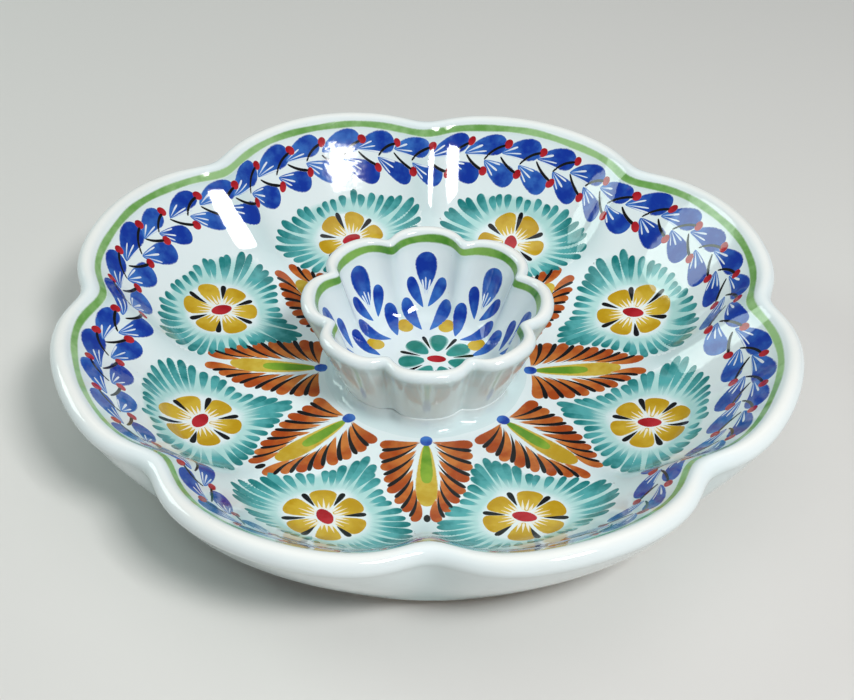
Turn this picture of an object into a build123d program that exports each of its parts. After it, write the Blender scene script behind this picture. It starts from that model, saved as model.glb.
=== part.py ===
"""Chip and dip server: a lobed earthenware platter with a lobed dip bowl luted to its floor.

Frame: millimetres, +Z up, origin on the table under the middle of the bowl.
Angles run from the front (-Y) towards +X. At angle 0 the platter has a notch between two
lobes, and the bowl has a lobe. A place is a point (radius, height) at a given angle.
"""

import math
import os

from build123d import *

# ---- shared layout -------------------------------------------------------------------
LOBES = 8  # lobes of the platter, and of the bowl
NOTCH_WIDTH = 0.5  # how wide a notch is: sine of the half-wave angle where it is half as deep
POINTS_PER_LOBE = 12  # outline points that carry each lobe

# ---- platter -------------------------------------------------------------------------
PLATTER_WIDTH = 340.0  # across two opposite lobes
NOTCH_DEPTH = 11.0  # how far a notch reaches in from the lobes
LOBE_STRETCH = (0.008, 0.0, 0.0, -0.016, 0.0, 0.0, -0.004, 0.018)  # hand-pressed lobes differ
LIP_RADIUS = 4.6  # half the thickness of the rounded lip
LIP_HEIGHT = 52.1  # middle of the rounded lip above the table, on average
LIP_WAVE = 1.6  # the lip rises on the lobes and dips at the notches by this
LIP_UNDERTURN = 35.0  # degrees below level where the lip passes into the outside of the wall
WALL_SLOPE = 47.0  # degrees, inside face of the wall
WALL_BELLY = 2.0  # how far the outside of the wall bows out
FLOOR_HEIGHT = 8.9  # top of the flat middle of the floor, above the table
FLOOR_THICKNESS = 6.3
FLAT_MARGIN = 4.0  # the floor stays flat this far out from the luting fillet
FLOOR_SPREAD = 58.0  # beyond the flat middle, the floor rises by FLOOR_RISE over this distance
FLOOR_RISE = 4.4
KNEE_SOFTNESS = 6.0  # rounding where floor and wall meet
RIDGE_HEIGHT = 1.3  # soft ridge that runs in from each notch
RIDGE_START = 80.0
RIDGE_LENGTH = 35.0
BASE_INSET = 27.5  # round lower edge of the wall, in from the lobes' outer edge
BASE_ROUNDING = 4.0
BASE_UNDERTURN = 28.0  # degrees below level where that rounding passes into the wall

# ---- platter foot ring ---------------------------------------------------------------
FOOT_HEIGHT = 7.0  # from the table to the underside of the floor
FOOT_WIDTH = 13.0  # of the ring where it stands on the table
FOOT_INSET = 9.0  # its outer edge, in from the round lower edge of the wall
FOOT_FLARE = 2.0  # each side widens by this towards the floor
FOOT_ROUNDING = 2.0
FOOT_LAP = 2.0  # how far the ring's blank reaches into the floor before it is trimmed

# ---- dip bowl ------------------------------------------------------------------------
BOWL_WIDTH = 116.4  # across two opposite lobes
BOWL_NOTCH_DEPTH = 6.8
BOWL_LIP_RADIUS = 3.3
BOWL_LIP_HEIGHT = 49.8  # middle of the bowl's rounded lip above the table
BOWL_LIP_WAVE = 0.5
BOWL_LIP_UNDERTURN = 22.0
BOWL_LIP_INTURN = 155.0  # degrees from level outside to where the lip passes into the inside
BOWL_FOOT_RADIUS = 40.0
BOWL_FOOT_ROUNDING = 1.5
BOWL_FOOT_LOBING = 0.45  # how much of the lobes is left at the foot
BOWL_FLOOR_THICKNESS = 6.8
BOWL_FLOOR_RADIUS = 26.0  # flat middle of the bowl's floor
BOWL_KNEE_INSET = 4.0  # the inside turns up this far in from the foot's edge

# ---- luting fillet -------------------------------------------------------------------
FILLET_WIDTH = 8.0  # the slip spreads over the floor this far out from the bowl's foot
FILLET_HEIGHT = 5.2  # its blank's height at the foot
FILLET_HOLLOW = 0.8  # depth of its hollow curve
FILLET_EDGE = 0.4  # thickness that it thins out to on the floor
FILLET_SINK = 1.5  # how far its blank sinks into the floor before it is trimmed
FILLET_BITE = 5.0  # how far its blank reaches under the bowl before it is trimmed

# ---- sizes that follow from the ones above ---------------------------------------------
FLAT_FLOOR_RADIUS = BOWL_FOOT_RADIUS + FILLET_WIDTH + FLAT_MARGIN
BASE_RADIUS = PLATTER_WIDTH / 2 - BASE_INSET


def ease(value):
    """Smooth step from 0 at 0 to 1 at 1."""
    value = min(max(value, 0.0), 1.0)
    return value * value * (3 - 2 * value)


def soft_max(first, second, softness):
    """The larger of two heights, with the corner between them rounded."""
    return 0.5 * (first + second + math.hypot(first - second, softness))


def cubic(points, share):
    """Point on the plane cubic curve with these four control points."""
    rest = 1 - share
    weights = (rest**3, 3 * rest**2 * share, 3 * rest * share**2, share**3)
    return tuple(sum(w * point[axis] for w, point in zip(weights, points)) for axis in (0, 1))


def notch(angle):
    """1 in a notch of the platter, 0 in the middle of a lobe: a narrow periodic bell."""
    least = 1 / (1 + 1 / NOTCH_WIDTH**2)
    bell = 1 / (1 + (math.sin(LOBES * angle / 2) / NOTCH_WIDTH) ** 2)
    return (bell - least) / (1 - least)


# ---- wires and skins -----------------------------------------------------------------
def ring_wire(place):
    """Closed smooth wire through place(angle), all round the object."""
    count = LOBES * POINTS_PER_LOBE
    points = []
    for index in range(count):
        angle = math.tau * index / count
        radius, height = place(angle)
        points.append((radius * math.sin(angle), -radius * math.cos(angle), height))
    steps = [float(index) for index in range(count + 1)]
    return Wire([Edge.make_spline(points, periodic=True, parameters=steps)])


def circle(radius, height):
    """A round, level place."""
    return lambda angle: (radius, height)


def at_share(place, share):
    """The place at one share of place(angle, share)."""
    return lambda angle: place(angle, share)


def on_bead(radius_at, height_at, bead, turn):
    """The place on a rounded edge, at this turn in degrees up from level and outwards."""

    def place(angle):
        out = bead * (math.cos(math.radians(turn)) - 1)
        return radius_at(angle) + out, height_at(angle) + bead * math.sin(math.radians(turn))

    return place


def even(first, last, count):
    """Evenly spaced values, both ends among them."""
    return [first + (last - first) * index / (count - 1) for index in range(count)]


def skin(bands):
    """Solid whose skin is a chain of smooth bands, closed by a flat cap at each end.

    A band is a list of places. It starts on the place where the band before it ended.
    """
    end = ring_wire(bands[0][0])
    faces = [Face(end)]
    for places in bands:
        wires = [end] + [ring_wire(place) for place in places[1:]]
        faces += Shell.make_loft(wires).faces()
        end = wires[-1]
    faces.append(Face(end))
    return Solid(Shell(faces))


# ---- platter -------------------------------------------------------------------------
def rim_radius(angle):
    """Outer radius of the platter's lip."""
    lobe = int(angle / math.tau * LOBES) % LOBES
    middle = math.sin(LOBES * angle / 2) ** 2
    plain = PLATTER_WIDTH / 2 - NOTCH_DEPTH * notch(angle)
    return plain * (1 + LOBE_STRETCH[lobe] * middle)


def lip_height(angle):
    """Height of the middle of the platter's lip."""
    return LIP_HEIGHT - LIP_WAVE * math.cos(LOBES * angle)


def floor_height(radius):
    """Height of the top of the floor, flat in the middle and rising outwards."""
    out = max(radius - FLAT_FLOOR_RADIUS, 0.0) / FLOOR_SPREAD
    return FLOOR_HEIGHT + FLOOR_RISE * out**2


def wall_start(angle):
    """Place where the platter's lip passes into the inside of the wall."""
    return on_bead(rim_radius, lip_height, LIP_RADIUS, 90 + WALL_SLOPE)(angle)


def inside_height(radius, angle):
    """Height of the inside of the platter, from the floor up to the lip."""
    start_radius, start_height = wall_start(angle)
    wall = start_height - (start_radius - radius) * math.tan(math.radians(WALL_SLOPE))
    floor = floor_height(radius)
    ridge = RIDGE_HEIGHT * notch(angle) * ease((radius - RIDGE_START) / RIDGE_LENGTH)
    fade = ease((radius - FLAT_FLOOR_RADIUS) / FLOOR_SPREAD)
    return floor + fade * (soft_max(floor, wall, KNEE_SOFTNESS) - floor + ridge)


def inside_place(angle, share):
    """Place on the inside of the platter, from the flat floor (0) up to the lip (1)."""
    start_radius, start_height = wall_start(angle)
    radius = FLAT_FLOOR_RADIUS + (start_radius - FLAT_FLOOR_RADIUS) * share
    excess = inside_height(start_radius, angle) - start_height
    return radius, inside_height(radius, angle) - excess * ease((share - 0.9) / 0.1)


def base_edge(turn):
    """The place on the round lower edge of the wall, at this turn in degrees from level."""
    middle = FOOT_HEIGHT + BASE_ROUNDING
    return on_bead(lambda angle: BASE_RADIUS, lambda angle: middle, BASE_ROUNDING, turn)


def outside_place(angle, share):
    """Place on the outside of the wall, from its round lower edge (0) to under the lip (1)."""
    low_radius, low_height = base_edge(-BASE_UNDERTURN)(angle)
    top_radius, top_height = on_bead(rim_radius, lip_height, LIP_RADIUS, -LIP_UNDERTURN)(angle)
    belly = WALL_BELLY * math.sin(math.pi * share)
    radius = low_radius + (top_radius - low_radius) * share + belly
    return radius, low_height + (top_height - low_height) * share


def make_platter_body():
    """Press-moulded platter: floor, lobed wall and rounded lip in one piece of clay."""
    foot_inner = BASE_RADIUS - FOOT_INSET - FOOT_WIDTH - 2 * FOOT_FLARE
    middle = circle(FLAT_FLOOR_RADIUS, FLOOR_HEIGHT - FLOOR_THICKNESS)
    at_foot = circle(foot_inner, FOOT_HEIGHT)
    edge = [base_edge(turn) for turn in even(-90, -BASE_UNDERTURN, 4)]
    outside = [at_share(outside_place, share) for share in even(0, 1, 6)]
    turns = even(-LIP_UNDERTURN, 90 + WALL_SLOPE, 9)
    lip = [on_bead(rim_radius, lip_height, LIP_RADIUS, turn) for turn in turns]
    inside = [at_share(inside_place, share) for share in even(1, 0, 19)]
    return skin([[middle, at_foot], [at_foot, edge[0]], edge, outside, lip, inside])


def make_platter_foot_ring(platter):
    """Ring of clay under the floor that the dish stands on, trimmed to the underside."""
    outer = BASE_RADIUS - FOOT_INSET
    inner = outer - FOOT_WIDTH
    top = FOOT_HEIGHT + FOOT_LAP
    outline = Polyline(
        (inner, 0, 0),
        (outer, 0, 0),
        (outer + FOOT_FLARE, 0, top),
        (inner - FOOT_FLARE, 0, top),
        close=True,
    )
    ring = revolve(make_face(outline), Axis.Z, 360)
    ring = fillet(ring.edges().group_by(Axis.Z)[0], FOOT_ROUNDING)
    return ring - platter


# ---- dip bowl ------------------------------------------------------------------------
def bowl_notch(angle):
    """1 between two lobes of the bowl, whose lobes face the platter's notches."""
    return notch(angle + math.pi / LOBES)


def bowl_radius(angle):
    """Outer radius of the bowl's lip."""
    return BOWL_WIDTH / 2 - BOWL_NOTCH_DEPTH * bowl_notch(angle)


def bowl_lip_height(angle):
    """Height of the middle of the bowl's lip."""
    return BOWL_LIP_HEIGHT + BOWL_LIP_WAVE * math.cos(LOBES * angle)


def bowl_outside_place(angle, share):
    """Place on the outside of the bowl's wall, from just above its foot (0) to its lip (1)."""
    dip = BOWL_NOTCH_DEPTH * bowl_notch(angle) * BOWL_FOOT_LOBING
    low_radius = BOWL_FOOT_RADIUS + BOWL_FOOT_ROUNDING - dip
    low_height = FLOOR_HEIGHT + BOWL_FOOT_ROUNDING
    lip = on_bead(bowl_radius, bowl_lip_height, BOWL_LIP_RADIUS, -BOWL_LIP_UNDERTURN)
    top_radius, top_height = lip(angle)
    radius = low_radius + (top_radius - low_radius) * share
    return radius, low_height + (top_height - low_height) * share


def bowl_inside_place(angle, share):
    """Place on the inside of the bowl, from its flat floor (0) up to its lip (1).

    A cubic curve that leaves the floor level and comes up to the lip along the outside's slope.
    """
    foot = bowl_outside_place(angle, 0)
    top = bowl_outside_place(angle, 1)
    lip = on_bead(bowl_radius, bowl_lip_height, BOWL_LIP_RADIUS, BOWL_LIP_INTURN)
    end_radius, end_height = lip(angle)
    floor = FLOOR_HEIGHT + BOWL_FLOOR_THICKNESS
    controls = (
        (BOWL_FLOOR_RADIUS, floor),
        (BOWL_FOOT_RADIUS - BOWL_KNEE_INSET, floor),
        (end_radius - (top[0] - foot[0]) / 2, end_height - (top[1] - foot[1]) / 2),
        (end_radius, end_height),
    )
    return cubic(controls, share)


def make_dip_bowl():
    """Press-moulded dip bowl: flat floor, flared lobed wall and rounded lip."""
    foot = circle(BOWL_FOOT_RADIUS, FLOOR_HEIGHT)
    outside = [at_share(bowl_outside_place, share) for share in even(0, 1, 5)]
    turns = even(-BOWL_LIP_UNDERTURN, BOWL_LIP_INTURN, 9)
    lip = [on_bead(bowl_radius, bowl_lip_height, BOWL_LIP_RADIUS, turn) for turn in turns]
    inside = [at_share(bowl_inside_place, share) for share in even(1, 0, 13)]
    return skin([[foot, outside[0]], outside, lip, inside])


# ---- luting fillet -------------------------------------------------------------------
def make_luting_fillet(platter, bowl):
    """Cove of slip smoothed around the bowl's foot, trimmed to the bowl and the floor."""
    inner = BOWL_FOOT_RADIUS - FILLET_BITE
    outer = BOWL_FOOT_RADIUS + FILLET_WIDTH
    low = FLOOR_HEIGHT - FILLET_SINK
    edge = FLOOR_HEIGHT + FILLET_EDGE
    top = FLOOR_HEIGHT + FILLET_HEIGHT
    length = math.hypot(FILLET_WIDTH, top - edge)
    hollow_radius = (outer + BOWL_FOOT_RADIUS) / 2 - FILLET_HOLLOW * (top - edge) / length
    hollow_height = (edge + top) / 2 - FILLET_HOLLOW * FILLET_WIDTH / length
    outline = [
        Line((inner, 0, low), (outer, 0, low)),
        Line((outer, 0, low), (outer, 0, edge)),
        ThreePointArc((outer, 0, edge), (hollow_radius, 0, hollow_height), (BOWL_FOOT_RADIUS, 0, top)),
        Line((BOWL_FOOT_RADIUS, 0, top), (inner, 0, top)),
        Line((inner, 0, top), (inner, 0, low)),
    ]
    return revolve(make_face(outline), Axis.Z, 360) - platter - bowl


def main():
    """Build the four pieces of clay and write one file for each."""
    os.makedirs("parts", exist_ok=True)
    platter = make_platter_body()
    bowl = make_dip_bowl()
    pieces = {
        "platter_body": platter,
        "platter_foot_ring": make_platter_foot_ring(platter),
        "dip_bowl": bowl,
        "luting_fillet": make_luting_fillet(platter, bowl),
    }
    for name, piece in pieces.items():
        export_step(piece, f"parts/{name}.step")
        print(name, "volume", round(piece.volume), "solids", len(piece.solids()))


main()
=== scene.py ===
# %% [markdown]
# # Chip and dip server
#
# A round, lobed earthenware platter carries a small lobed bowl in its middle. Chips lie around
# the bowl and the dip is in it. It is press-moulded, hand painted and glazed, so nearly all
# that the eye meets is glossy white glaze with brush strokes under it. This file builds that
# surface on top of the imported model. The model has the clay at its real size, and what is made
# here takes the place of its four pieces with finer surfaces and paint.

import bpy
import numpy as np
from mathutils import Matrix


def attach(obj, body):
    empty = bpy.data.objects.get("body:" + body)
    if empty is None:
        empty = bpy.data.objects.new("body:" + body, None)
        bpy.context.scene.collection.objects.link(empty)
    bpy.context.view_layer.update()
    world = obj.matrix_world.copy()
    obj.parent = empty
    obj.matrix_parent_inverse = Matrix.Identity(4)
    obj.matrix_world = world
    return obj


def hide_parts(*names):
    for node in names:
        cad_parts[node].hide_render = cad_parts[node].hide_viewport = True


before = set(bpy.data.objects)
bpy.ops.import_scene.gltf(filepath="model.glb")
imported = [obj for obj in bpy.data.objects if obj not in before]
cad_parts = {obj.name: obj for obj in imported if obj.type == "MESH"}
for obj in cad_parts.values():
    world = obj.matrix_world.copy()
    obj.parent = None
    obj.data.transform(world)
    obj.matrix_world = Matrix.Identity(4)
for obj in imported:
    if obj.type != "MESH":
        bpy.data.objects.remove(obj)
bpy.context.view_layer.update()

# %% [markdown]
# ## The measures of the dish
#
# Sizes are in millimetres and are turned into metres when a mesh is made. Angles run from the
# front towards +X, as in the model. They could be read off the model's triangles, but the
# formulas that shaped the clay are short, so they are repeated here. Every piece below, and
# each brush stroke, is then laid on exactly the same surface.

# %% Measures and shared helpers
MM = 0.001
SEED = 8
rng = np.random.default_rng(SEED)

LOBES = 8
NOTCH_WIDTH = 0.5
PLATTER_WIDTH = 340.0
NOTCH_DEPTH = 11.0
LOBE_STRETCH = np.array([0.008, 0.0, 0.0, -0.016, 0.0, 0.0, -0.004, 0.018])
LIP_RADIUS = 4.6
LIP_HEIGHT = 52.1
LIP_WAVE = 1.6
LIP_UNDERTURN = 35.0
WALL_SLOPE = 47.0
WALL_BELLY = 2.0
FLOOR_HEIGHT = 8.9
FLOOR_THICKNESS = 6.3
FLAT_FLOOR_RADIUS = 52.0
FLOOR_SPREAD = 58.0
FLOOR_RISE = 4.4
KNEE_SOFTNESS = 6.0
RIDGE_HEIGHT = 1.3
RIDGE_START = 80.0
RIDGE_LENGTH = 35.0
BASE_RADIUS = 142.5
BASE_ROUNDING = 4.0
BASE_UNDERTURN = 28.0
FOOT_HEIGHT = 7.0
FOOT_WIDTH = 13.0
FOOT_INSET = 9.0
FOOT_FLARE = 2.0
FOOT_ROUNDING = 2.0

BOWL_WIDTH = 116.4
BOWL_NOTCH_DEPTH = 6.8
BOWL_LIP_RADIUS = 3.3
BOWL_LIP_HEIGHT = 49.8
BOWL_LIP_WAVE = 0.5
BOWL_LIP_UNDERTURN = 22.0
BOWL_LIP_INTURN = 155.0
BOWL_FOOT_RADIUS = 40.0
BOWL_FOOT_ROUNDING = 1.5
BOWL_FOOT_LOBING = 0.45
BOWL_FLOOR_THICKNESS = 6.8
BOWL_FLOOR_RADIUS = 26.0
BOWL_KNEE_INSET = 4.0
COVE_WIDTH = 8.0
COVE_HEIGHT = 5.2

MIDDLE_HOLE = 6.0  # mm, the innermost ring of the platter's floor, closed by a pole
INSIDE_RINGS = 58  # from the flat floor's edge to the lip
OUTSIDE_RINGS = 14  # from the lip down to the base
UNDER_RINGS = (90.0, 70.0, 52.0, 30.0, 8.0)  # mm, inside the foot ring
UNDER_EDGE = 132.0  # mm, level underside over the foot ring


def ease(value):
    """Smooth step: 3v squared minus 2v cubed, held at 0 below 0 and at 1 above 1."""
    value = np.clip(value, 0.0, 1.0)
    return value * value * (3 - 2 * value)


def soft_max(first, second, softness):
    """Half of the sum plus the root of the squared difference and the squared softness."""
    return 0.5 * (first + second + np.hypot(first - second, softness))


def notch(angle):
    """Bell 1 / (1 + (sin(4 angle) / width) squared), scaled to 1 in a notch and 0 on a lobe."""
    least = 1 / (1 + 1 / NOTCH_WIDTH**2)
    bell = 1 / (1 + (np.sin(LOBES * angle / 2) / NOTCH_WIDTH) ** 2)
    return (bell - least) / (1 - least)


def lobed_angles(count, pull):
    """Angles once round, drawn towards the notches by pull times sin(8 angle) / 8."""
    even = np.linspace(0, 2 * np.pi, count, endpoint=False)
    return even - pull * np.sin(LOBES * even) / LOBES


def turned(radius, height, angle):
    """Points (radius sin angle, -radius cos angle, height)."""
    parts = np.broadcast_arrays(radius * np.sin(angle), -radius * np.cos(angle), height)
    return np.stack(parts, axis=-1)


def compass(angle):
    """Directions on the floor: outwards at this angle, and square to that."""
    out = np.stack([np.sin(angle), -np.cos(angle)], axis=-1)
    return out, np.stack([np.cos(angle), np.sin(angle)], axis=-1)


def lengths_along(line):
    """The length from the start of a line to each of its points."""
    return np.concatenate([[0], np.cumsum(np.linalg.norm(np.diff(line, axis=0), axis=1))])


# %% [markdown]
# ## The platter's surface
#
# A wheel-thrown dish is one profile turned about its axis. This one was pressed into a lobed
# mould, so the profile changes with the angle: at eight notches the wall comes in, and a soft
# ridge runs from each notch over the floor. The profile is a function of the angle and of a
# radius or a share, and the dish is the grid of its points.

# %% Platter formulas
def rim_radius(angle):
    """Half the width less the notches, each lobe stretched by its own share of sin squared."""
    lobe = np.floor((angle % (2 * np.pi)) / (2 * np.pi) * LOBES).astype(int) % LOBES
    middle = np.sin(LOBES * angle / 2) ** 2
    return (PLATTER_WIDTH / 2 - NOTCH_DEPTH * notch(angle)) * (1 + LOBE_STRETCH[lobe] * middle)


def lip_height(angle):
    """Mean height less the wave times cos(8 angle)."""
    return LIP_HEIGHT - LIP_WAVE * np.cos(LOBES * angle)


def on_bead(radius, height, bead, turn):
    """Point of a rounded edge: its middle plus the bead's radius turned up from level."""
    turn = np.radians(turn)
    return radius + bead * (np.cos(turn) - 1), height + bead * np.sin(turn)


def inside_height(radius, angle):
    """Floor eased into the wall's slope by soft_max, plus the ridges; then the lip's circle."""
    start_radius, start_height = on_bead(
        rim_radius(angle), lip_height(angle), LIP_RADIUS, 90 + WALL_SLOPE
    )

    def below_lip(at):
        wall = start_height - (start_radius - at) * np.tan(np.radians(WALL_SLOPE))
        beyond = np.maximum(at - FLAT_FLOOR_RADIUS, 0)
        floor = FLOOR_HEIGHT + FLOOR_RISE * (beyond / FLOOR_SPREAD) ** 2
        ridge = RIDGE_HEIGHT * notch(angle) * ease((at - RIDGE_START) / RIDGE_LENGTH)
        fade = ease((at - FLAT_FLOOR_RADIUS) / FLOOR_SPREAD)
        return floor + fade * (soft_max(floor, wall, KNEE_SOFTNESS) - floor + ridge)

    share = (radius - FLAT_FLOOR_RADIUS) / (start_radius - FLAT_FLOOR_RADIUS)
    excess = below_lip(start_radius) - start_height
    wall = below_lip(radius) - excess * ease((share - 0.9) / 0.1)
    out = np.clip(radius - (rim_radius(angle) - LIP_RADIUS), -LIP_RADIUS, LIP_RADIUS)
    lip = lip_height(angle) + np.sqrt(LIP_RADIUS**2 - out**2)
    return np.where(radius > start_radius, lip, wall)


def platter_profile(angle):
    """Radii and heights from the middle of the floor over the lip to the middle underneath."""
    start = rim_radius(angle) + LIP_RADIUS * (np.cos(np.radians(90 + WALL_SLOPE)) - 1)
    floor = np.linspace(MIDDLE_HOLE, FLAT_FLOOR_RADIUS, 6)[:-1, None]
    spread = np.linspace(0, 1, INSIDE_RINGS)[:, None]
    sloping = FLAT_FLOOR_RADIUS + (start - FLAT_FLOOR_RADIUS) * spread
    radius = np.concatenate([floor + 0 * angle, sloping])
    height = inside_height(radius, angle)
    turns = np.linspace(90 + WALL_SLOPE, -LIP_UNDERTURN, 14)[1:, None]
    lip = on_bead(rim_radius(angle), lip_height(angle), LIP_RADIUS, turns)
    low = on_bead(BASE_RADIUS, FOOT_HEIGHT + BASE_ROUNDING, BASE_ROUNDING, -BASE_UNDERTURN)
    share = np.linspace(1, 0, OUTSIDE_RINGS)[1:, None]
    outside_radius = low[0] + (lip[0][-1] - low[0]) * share + WALL_BELLY * np.sin(np.pi * share)
    outside_height = low[1] + (lip[1][-1] - low[1]) * share
    turns = np.linspace(-BASE_UNDERTURN, -90, 6)[1:, None]
    edge = on_bead(BASE_RADIUS, FOOT_HEIGHT + BASE_ROUNDING, BASE_ROUNDING, turns)
    at_foot = BASE_RADIUS - FOOT_INSET - FOOT_WIDTH - 2 * FOOT_FLARE
    under = np.array([UNDER_EDGE, at_foot, *UNDER_RINGS])[:, None]
    cone = np.clip((at_foot - under) / (at_foot - FLAT_FLOOR_RADIUS), 0, 1)
    under_height = FOOT_HEIGHT - (FOOT_HEIGHT - FLOOR_HEIGHT + FLOOR_THICKNESS) * cone
    wide = np.ones(angle.size)
    radius = np.concatenate([radius, lip[0], outside_radius, edge[0] * wide, under * wide])
    height = np.concatenate([height, lip[1], outside_height, edge[1] * wide, under_height * wide])
    return radius, height


# %% [markdown]
# ## From a grid to a mesh
#
# Everything here is a closed skin: a grid of rings that joins itself around each ring. Its two
# ends either close in one point, a pole, or join each other as in a ring-shaped roll. The
# same few lines number the faces for one skin or for hundreds of brush strokes at once. Each
# mesh also keeps numbers of its own at its points, which the finishes read: where a stroke
# begins and ends, how near its edge is, and where glaze gathers.

# %% Grid to mesh
def skin_faces(count, rows, columns, poles):
    """Quads of row by column rings and, with poles, the triangles that close both ends."""
    size = rows * columns + (2 if poles else 0)
    row = np.arange(rows - 1 if poles else rows)[:, None]
    column = np.arange(columns)[None, :]
    beside, above = (column + 1) % columns, (row + 1) % rows
    quads = [row * columns + column, row * columns + beside]
    quads += [above * columns + beside, above * columns + column]
    quads = np.stack(quads, axis=-1).reshape(1, -1, 4)
    triangles = np.zeros((1, 0, 3), int)
    if poles:
        here = np.arange(columns)
        after = (here + 1) % columns
        last = (rows - 1) * columns
        first = np.stack([np.full(columns, rows * columns), after, here], axis=-1)
        end = np.stack([np.full(columns, rows * columns + 1), last + here, last + after], axis=-1)
        triangles = np.concatenate([first, end])[None]
    offset = np.arange(count)[:, None, None] * size
    return (quads + offset).reshape(-1, 4), (triangles + offset).reshape(-1, 3)


def make_piece(name, grid, ends=None, fields=(), normals=None):
    """Mesh object of `count` closed skins: grid is (count, rows, columns, 3), ends (count, 2, 3).

    The faces are turned outwards if the volume that they enclose comes out negative.
    """
    count, rows, columns = grid.shape[:3]
    quads, triangles = skin_faces(count, rows, columns, ends is not None)

    def gathered(values, closing):
        flat = values.reshape(count, rows * columns, -1)
        if closing is None:
            return flat
        return np.concatenate([flat, closing.reshape(count, 2, -1)], axis=1)

    points = gathered(grid, ends).reshape(-1, 3) * MM
    corners = [quads, quads[:, [0, 2, 3]]]
    fans = np.concatenate([corners[0][:, :3], corners[1], triangles])
    a, b, c = (points[fans[:, i]] for i in range(3))
    volume = np.einsum("ij,ij->i", a, np.cross(b, c)).sum() / 6
    if volume < 0:
        quads, triangles = quads[:, ::-1], triangles[:, ::-1]
    mesh = bpy.data.meshes.new(name)
    loops = np.concatenate([quads.ravel(), triangles.ravel()])
    sides = np.repeat([4, 3], [len(quads), len(triangles)])
    mesh.vertices.add(len(points))
    mesh.vertices.foreach_set("co", points.ravel())
    mesh.loops.add(len(loops))
    mesh.loops.foreach_set("vertex_index", loops.astype(np.int32))
    mesh.polygons.add(len(sides))
    mesh.polygons.foreach_set("loop_start", (np.cumsum(sides) - sides).astype(np.int32))
    mesh.polygons.foreach_set("use_smooth", np.ones(len(sides), bool))
    mesh.update(calc_edges=True)
    for field, (values, closing) in dict(fields).items():
        layer = mesh.attributes.new(field, "FLOAT", "POINT")
        layer.data.foreach_set("value", gathered(values, closing).ravel().astype(np.float32))
    if normals is not None:
        mesh.normals_split_custom_set_from_vertices(gathered(*normals).reshape(-1, 3).tolist())
    piece = bpy.data.objects.new(name, mesh)
    bpy.context.scene.collection.objects.link(piece)
    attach(piece, "root")
    print(f"{name}: {len(fans)} triangles, volume {abs(volume) * 1e6:.1f} cm3")
    return piece


# %% [markdown]
# ## The glaze
#
# Tin glaze is white because fine tin oxide is stirred into a clear lead or boron glass. It is
# smooth as glass and slightly wavy, as it flowed in the kiln. Where it lies thick, at the foot
# of a wall, under the lip and along a crease, it looks faintly blue-green. Where it lies
# thin, on the crest of the lip, it is a warmer white. A stored number for each point of the
# dish says how thick it lies, and the colour follows it.

# %% Colours and nodes
def linear(code):
    """Linear colour of an sRGB hex code: c / 12.92 at the dark end, else a 2.4 power."""
    parts = np.array([int(code[i : i + 2], 16) for i in (1, 3, 5)]) / 255
    value = np.where(parts <= 0.04045, parts / 12.92, ((parts + 0.055) / 1.055) ** 2.4)
    return (*value.tolist(), 1.0)


def add(tree, kind, settings=(), inputs=()):
    """Add one node, with its settings and its inputs: each a value or another node's output."""
    node = tree.nodes.new("ShaderNode" + kind)
    for key, value in dict(settings).items():
        setattr(node, key, value)
    for key, value in dict(inputs).items():
        if isinstance(value, bpy.types.NodeSocket):
            tree.links.new(value, node.inputs[key])
        else:
            node.inputs[key].default_value = value
    return node


def maths(tree, operation, *values):
    """What a Math node makes of these values; MULTIPLY_ADD is the first times the second plus."""
    return add(tree, "Math", {"operation": operation}, enumerate(values)).outputs[0]


def noise(tree, place, scale, detail):
    """A noise with about this many swells to a metre."""
    inputs = {"Vector": place, "Scale": scale, "Detail": detail}
    return add(tree, "TexNoise", inputs=inputs).outputs[0]


def ranged(tree, value, low, high, start=0.0, end=1.0, way="LINEAR"):
    """The value's range from low to high turned into start to end, and held there."""
    inputs = {"Value": value, "From Min": low, "From Max": high, "To Min": start, "To Max": end}
    return add(tree, "MapRange", {"interpolation_type": way}, inputs).outputs[0]


def mixed(tree, factor, first, second):
    """The colour this share of the way from first to second."""
    inputs = {"Factor": factor, 6: first, 7: second}
    return add(tree, "Mix", {"data_type": "RGBA"}, inputs).outputs[2]


WHITE_GLAZE = linear("#E6F0F1")  # tin glaze of normal thickness
THICK_GLAZE = linear("#C3DADB")  # where it pools
THIN_GLAZE = linear("#F1F1EC")  # on crests
GLAZE_IOR = 1.52  # lead and boron glass
GLAZE_ROUGHNESS = 0.07
WAVE_SIZE = 22.0  # mm from one slow swell of the glaze to the next
RIPPLE_SIZE = 2.6  # mm, the finer orange-peel ripple
RIPPLE_SHARE = 0.05  # of the swell's height
WAVE_HEIGHT = 0.4  # mm, for the whole range of the noise, of which the swell takes a small part
SPECK_SPACING = 9  # mm from one iron speck to the next
IRON_SPECK = linear("#8A7F6A")


def start_finish(name):
    """A material with its tree, its shader, and the place on the object that patterns read."""
    material = bpy.data.materials.new(name)
    material.use_nodes = True
    tree = material.node_tree
    shader = tree.nodes["Principled BSDF"]
    place = add(tree, "TexCoord").outputs["Object"]
    return material, tree, shader, place


def glaze_gloss(tree, shader, place):
    """Glass gloss, with a slow swell and a fine ripple that run on from piece to piece."""
    shader.inputs["Roughness"].default_value = GLAZE_ROUGHNESS
    shader.inputs["IOR"].default_value = GLAZE_IOR
    swell = noise(tree, place, 1 / (WAVE_SIZE * MM), 1.0)
    ripple = noise(tree, place, 1 / (RIPPLE_SIZE * MM), 0.0)
    height = maths(tree, "MULTIPLY_ADD", ripple, RIPPLE_SHARE, swell)
    bump = add(tree, "Bump", inputs={"Height": height, "Distance": WAVE_HEIGHT * MM})
    tree.links.new(bump.outputs[0], shader.inputs["Normal"])


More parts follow.
